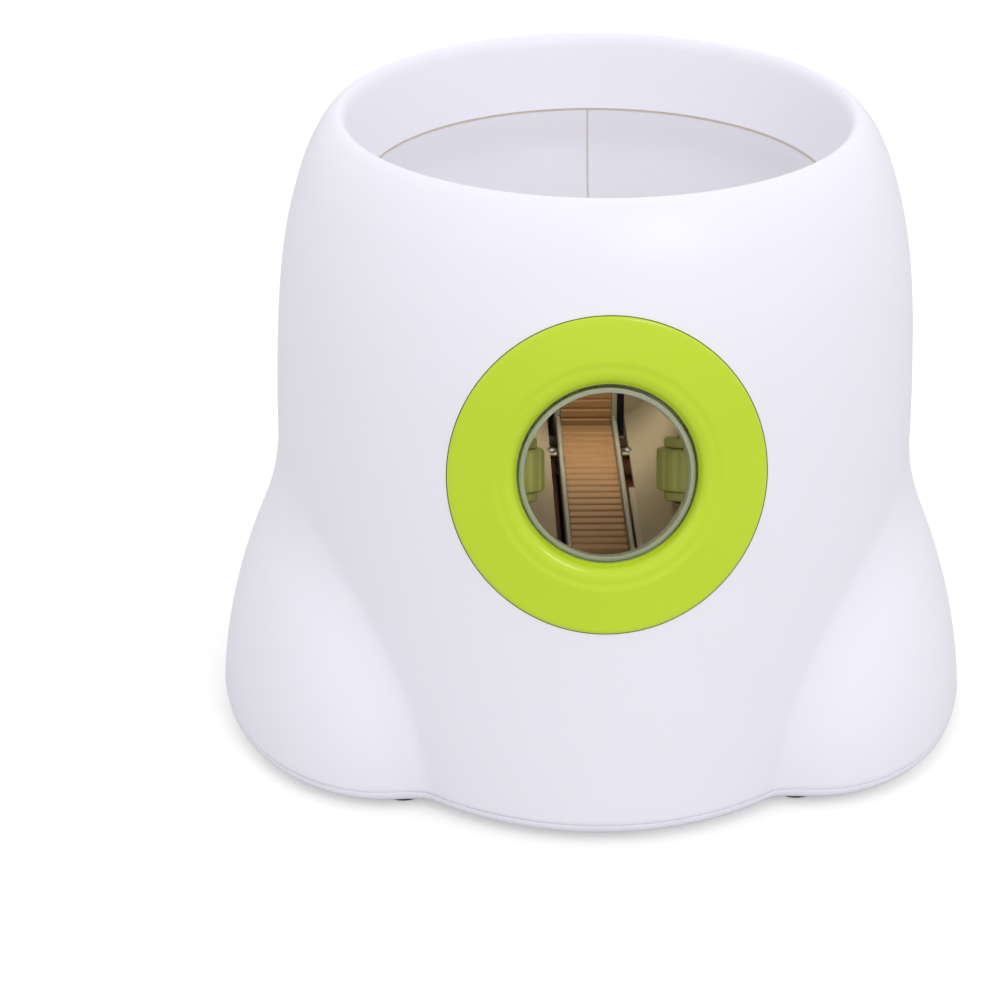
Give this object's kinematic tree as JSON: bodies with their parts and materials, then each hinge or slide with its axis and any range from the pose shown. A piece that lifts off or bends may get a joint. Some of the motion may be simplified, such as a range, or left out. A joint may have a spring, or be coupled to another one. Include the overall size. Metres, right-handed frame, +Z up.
{
  "type": "tennis ball machine",
  "caption": "Tabletop tennis ball machine: round drum on a lobed base, ball hopper in the top, green muzzle ring in front, spinning throwing wheels fed by a hinged ramp inside.",
  "frame": {"origin": "on the ground plane, under the axis of the drum", "axes": "+Z up; the muzzle ring faces -Y; +X is the right side as seen from in front of the muzzle looking along +Y"},
  "size_m": [0.2692, 0.2392, 0.2195],
  "materials": {
    "shell_white": "satin moulded ABS, cool white",
    "hopper_white": "satin moulded ABS, slightly greyer white",
    "lime_gloss": "high gloss lime green",
    "clear_plastic": "clear polished plastic tube",
    "tan_plastic": "satin tan moulding",
    "cream_plastic": "satin cream moulding",
    "amber_rubber": "ribbed amber-brown pad",
    "wheel_rubber": "ribbed olive green tread",
    "black_plastic": "fine textured black",
    "black_rubber": "matt rubber",
    "steel": "plain bright steel",
    "motor_can": "zinc plated can",
    "brass": "machined brass",
    "board_green": "solder mask over glass fibre",
    "cell_wrap": "dark wrapped cell",
    "button_grey": "satin grey",
    "lamp_green": "clear green lens"
  },
  "bodies": {
    "root": {"body_shell": "shell_white", "base_plate": "shell_white", "hopper_left": "hopper_white", "hopper_right": "hopper_white", "muzzle_ring": "lime_gloss", "muzzle_liner": "clear_plastic", "chute_left": "tan_plastic", "chute_right": "tan_plastic", "ball_sensor_left": "black_plastic", "ball_sensor_right": "black_plastic", "ramp_pivot_pin": "steel", "wheel_motor_left": "motor_can", "wheel_motor_right": "motor_can", "feed_motor": "motor_can", "motor_bracket_left": "black_plastic", "motor_bracket_right": "black_plastic", "feed_gearbox": "black_plastic", "battery_tray": "black_plastic", "speaker": "black_plastic", "power_socket": "black_plastic", "control_panel": "button_grey", "control_board": "board_green", "button_board": "board_green", "battery_cell_1": "cell_wrap", "battery_cell_2": "cell_wrap", "battery_cell_3": "cell_wrap", "battery_cell_4": "cell_wrap", "battery_contact_left": "steel", "battery_contact_right": "steel", "lamp_near": "lamp_green", "lamp_middle": "lamp_green", "lamp_far": "lamp_green", "base_screw_1": "steel", "base_screw_2": "steel", "base_screw_3": "steel", "base_screw_4": "steel", "foot_front_left": "black_rubber", "foot_front_right": "black_rubber", "foot_rear_left": "black_rubber", "foot_rear_right": "black_rubber"},
    "wheel_left": {"wheel_hub_left": "wheel_rubber", "wheel_tyre_left": "wheel_rubber", "wheel_shaft_left": "steel"},
    "wheel_right": {"wheel_hub_right": "wheel_rubber", "wheel_tyre_right": "wheel_rubber", "wheel_shaft_right": "steel"},
    "ramp": {"feed_ramp": "cream_plastic", "ramp_pad": "amber_rubber", "sector_gear": "cream_plastic"},
    "pinion": {"feed_pinion": "brass"},
    "power_button": {"power_button": "lime_gloss"},
    "distance_button": {"distance_button": "lime_gloss"},
    "door": {"battery_door": "shell_white"}
  },
  "joints": [
    {"name": "wheel_left_spin", "type": "hinge", "parent": "root", "child": "wheel_left", "pos_m": [-0.046, -0.058, 0.111], "axis": [0, 0.3746, 0.9272], "continuous": true},
    {"name": "wheel_right_spin", "type": "hinge", "parent": "root", "child": "wheel_right", "pos_m": [0.046, -0.058, 0.111], "axis": [0, 0.3746, 0.9272], "continuous": true},
    {"name": "ramp_lift", "type": "hinge", "parent": "root", "child": "ramp", "pos_m": [0, -0.074, 0.08], "axis": [1, 0, 0], "range_deg": [0, 14]},
    {"name": "pinion_turn", "type": "hinge", "parent": "root", "child": "pinion", "pos_m": [0, -0.02731, 0.04731], "axis": [1, 0, 0], "range_deg": [-75, 0]},
    {"name": "power_press", "type": "slide", "parent": "root", "child": "power_button", "axis": [0, -1, 0], "range_m": [0, 0.0015], "stiffness_N_per_m": 400, "springref_m": -0.001},
    {"name": "distance_press", "type": "slide", "parent": "root", "child": "distance_button", "axis": [0, -1, 0], "range_m": [0, 0.0015], "stiffness_N_per_m": 400, "springref_m": -0.001},
    {"name": "door_swing", "type": "hinge", "parent": "root", "child": "door", "pos_m": [0, 0.0432, 0.005], "axis": [-1, 0, 0], "range_deg": [0, 100]}
  ],
  "couplings": [
    {"joint": "pinion_turn", "follows": "ramp_lift", "ratio": -5.3333}
  ]
}
